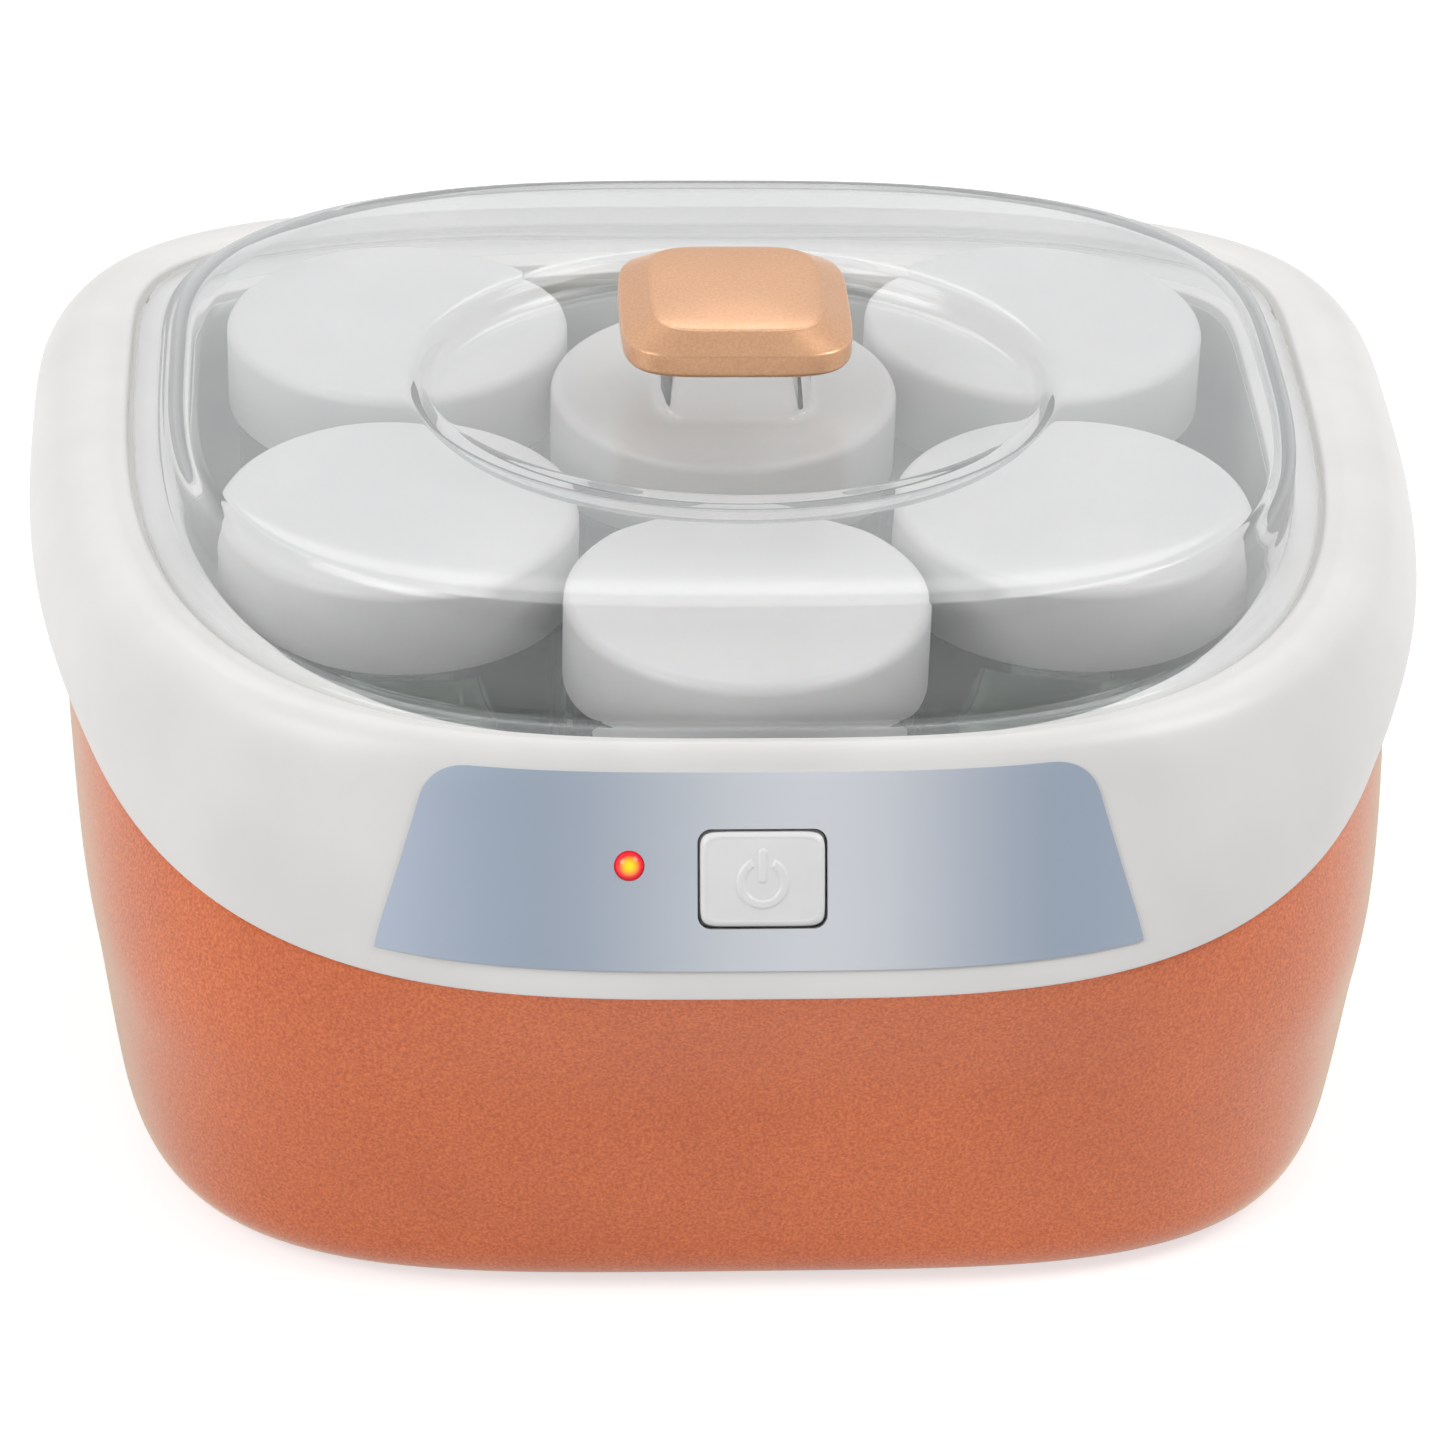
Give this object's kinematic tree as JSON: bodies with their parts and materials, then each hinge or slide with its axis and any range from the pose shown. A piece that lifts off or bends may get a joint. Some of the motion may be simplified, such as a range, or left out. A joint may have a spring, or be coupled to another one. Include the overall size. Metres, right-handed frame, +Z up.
{
  "type": "yogurt maker",
  "caption": "Electric yogurt maker: oval copper casing with a white collar, sloping control panel, clear lift-off cover with a knob, and glass jars with press-on lids.",
  "frame": {"origin": "middle of the footprint, on the table", "axes": "+Z up, +X to the right across the width, front with the control panel towards -Y"},
  "size_m": [0.265, 0.2404, 0.1502],
  "materials": {
    "copper_paint": "fine-grained metallic copper paint over moulded plastic",
    "warm_white_plastic": "satin moulded plastic",
    "panel_foil": "thin foil plate, silver-blue, satin",
    "button_plastic": "semi-gloss moulded plastic",
    "pressed_aluminium": "pressed sheet, satin",
    "spreader_aluminium": "bare plate, as rolled",
    "heater_ceramic": "bare ceramic housing",
    "zinc_steel": "bright zinc plated",
    "black_plastic": "moulded, matte",
    "grey_plastic": "moulded, matte with a fine grain",
    "black_rubber": "moulded, matte",
    "board_laminate": "green solder mask, semi-gloss",
    "red_insulation": "extruded insulation, semi-gloss",
    "blue_insulation": "extruded insulation, semi-gloss",
    "natural_nylon": "moulded, translucent white",
    "lamp_resin": "cast resin, clear red",
    "clear_cover": "clear moulded plastic, polished",
    "copper_gold_plastic": "metallised plastic, satin copper gold",
    "jar_glass": "clear pressed glass",
    "milky_lid": "milky moulded plastic, satin",
    "white_silicone": "moulded silicone, matte"
  },
  "bodies": {
    "housing": {"outer_body": "copper_paint", "collar": "warm_white_plastic", "inner_pan": "pressed_aluminium", "pan_screws": "zinc_steel", "heat_spreader": "spreader_aluminium", "ptc_heater": "heater_ceramic", "heater_bracket": "zinc_steel", "bracket_screws": "zinc_steel", "thermostat": "black_plastic", "thermal_fuse": "heater_ceramic", "heater_leads": "red_insulation", "control_board": "board_laminate", "board_screws": "zinc_steel", "indicator_lamp": "lamp_resin", "lamp_sleeve": "natural_nylon", "power_switch": "black_plastic", "panel_plate": "panel_foil", "body_screws": "zinc_steel", "base_plate": "grey_plastic", "base_screws": "zinc_steel", "feet": "black_rubber", "cord_bushing": "black_rubber", "cord_clamp": "black_plastic", "clamp_screws": "zinc_steel", "terminal_block": "natural_nylon", "supply_leads": "blue_insulation"},
    "power_button": {"power_button": "button_plastic"},
    "cover": {"cover_shell": "clear_cover", "knob": "copper_gold_plastic", "knob_screw": "zinc_steel", "knob_washer": "zinc_steel"},
    "jar_1": {"jar_1": "jar_glass"},
    "jar_2": {"jar_2": "jar_glass"},
    "jar_3": {"jar_3": "jar_glass"},
    "jar_4": {"jar_4": "jar_glass"},
    "jar_5": {"jar_5": "jar_glass"},
    "jar_6": {"jar_6": "jar_glass"},
    "jar_lid_1": {"jar_lid_1": "milky_lid", "lid_seal_1": "white_silicone"},
    "jar_lid_2": {"jar_lid_2": "milky_lid", "lid_seal_2": "white_silicone"},
    "jar_lid_3": {"jar_lid_3": "milky_lid", "lid_seal_3": "white_silicone"},
    "jar_lid_4": {"jar_lid_4": "milky_lid", "lid_seal_4": "white_silicone"},
    "jar_lid_5": {"jar_lid_5": "milky_lid", "lid_seal_5": "white_silicone"},
    "jar_lid_6": {"jar_lid_6": "milky_lid", "lid_seal_6": "white_silicone"}
  },
  "joints": [
    {"name": "button_press", "type": "slide", "parent": "housing", "child": "power_button", "axis": [0, 0.8862, -0.4633], "range_m": [0, 0.0015], "stiffness_N_per_m": 600, "springref_m": -0.001},
    {"name": "cover_lift", "type": "slide", "parent": "housing", "child": "cover", "axis": [0, 0, 1], "range_m": [0, 0.25]},
    {"name": "jar_1_lift", "type": "slide", "parent": "housing", "child": "jar_1", "axis": [0, 0, 1], "range_m": [0, 0.1]},
    {"name": "jar_lid_1_lift", "type": "slide", "parent": "jar_1", "child": "jar_lid_1", "axis": [0, 0, 1], "range_m": [0, 0.03]},
    {"name": "jar_2_lift", "type": "slide", "parent": "housing", "child": "jar_2", "axis": [0, 0, 1], "range_m": [0, 0.1]},
    {"name": "jar_lid_2_lift", "type": "slide", "parent": "jar_2", "child": "jar_lid_2", "axis": [0, 0, 1], "range_m": [0, 0.03]},
    {"name": "jar_3_lift", "type": "slide", "parent": "housing", "child": "jar_3", "axis": [0, 0, 1], "range_m": [0, 0.1]},
    {"name": "jar_lid_3_lift", "type": "slide", "parent": "jar_3", "child": "jar_lid_3", "axis": [0, 0, 1], "range_m": [0, 0.03]},
    {"name": "jar_4_lift", "type": "slide", "parent": "housing", "child": "jar_4", "axis": [0, 0, 1], "range_m": [0, 0.1]},
    {"name": "jar_lid_4_lift", "type": "slide", "parent": "jar_4", "child": "jar_lid_4", "axis": [0, 0, 1], "range_m": [0, 0.03]},
    {"name": "jar_5_lift", "type": "slide", "parent": "housing", "child": "jar_5", "axis": [0, 0, 1], "range_m": [0, 0.1]},
    {"name": "jar_lid_5_lift", "type": "slide", "parent": "jar_5", "child": "jar_lid_5", "axis": [0, 0, 1], "range_m": [0, 0.03]},
    {"name": "jar_6_lift", "type": "slide", "parent": "housing", "child": "jar_6", "axis": [0, 0, 1], "range_m": [0, 0.1]},
    {"name": "jar_lid_6_lift", "type": "slide", "parent": "jar_6", "child": "jar_lid_6", "axis": [0, 0, 1], "range_m": [0, 0.03]}
  ],
  "couplings": [
    {"joint": "jar_1_lift", "follows": "cover_lift", "ratio": 0.4},
    {"joint": "jar_lid_1_lift", "follows": "cover_lift", "ratio": 0.12},
    {"joint": "jar_2_lift", "follows": "cover_lift", "ratio": 0.4},
    {"joint": "jar_lid_2_lift", "follows": "cover_lift", "ratio": 0.12},
    {"joint": "jar_3_lift", "follows": "cover_lift", "ratio": 0.4},
    {"joint": "jar_lid_3_lift", "follows": "cover_lift", "ratio": 0.12},
    {"joint": "jar_4_lift", "follows": "cover_lift", "ratio": 0.4},
    {"joint": "jar_lid_4_lift", "follows": "cover_lift", "ratio": 0.12},
    {"joint": "jar_5_lift", "follows": "cover_lift", "ratio": 0.4},
    {"joint": "jar_lid_5_lift", "follows": "cover_lift", "ratio": 0.12},
    {"joint": "jar_6_lift", "follows": "cover_lift", "ratio": 0.4},
    {"joint": "jar_lid_6_lift", "follows": "cover_lift", "ratio": 0.12}
  ]
}
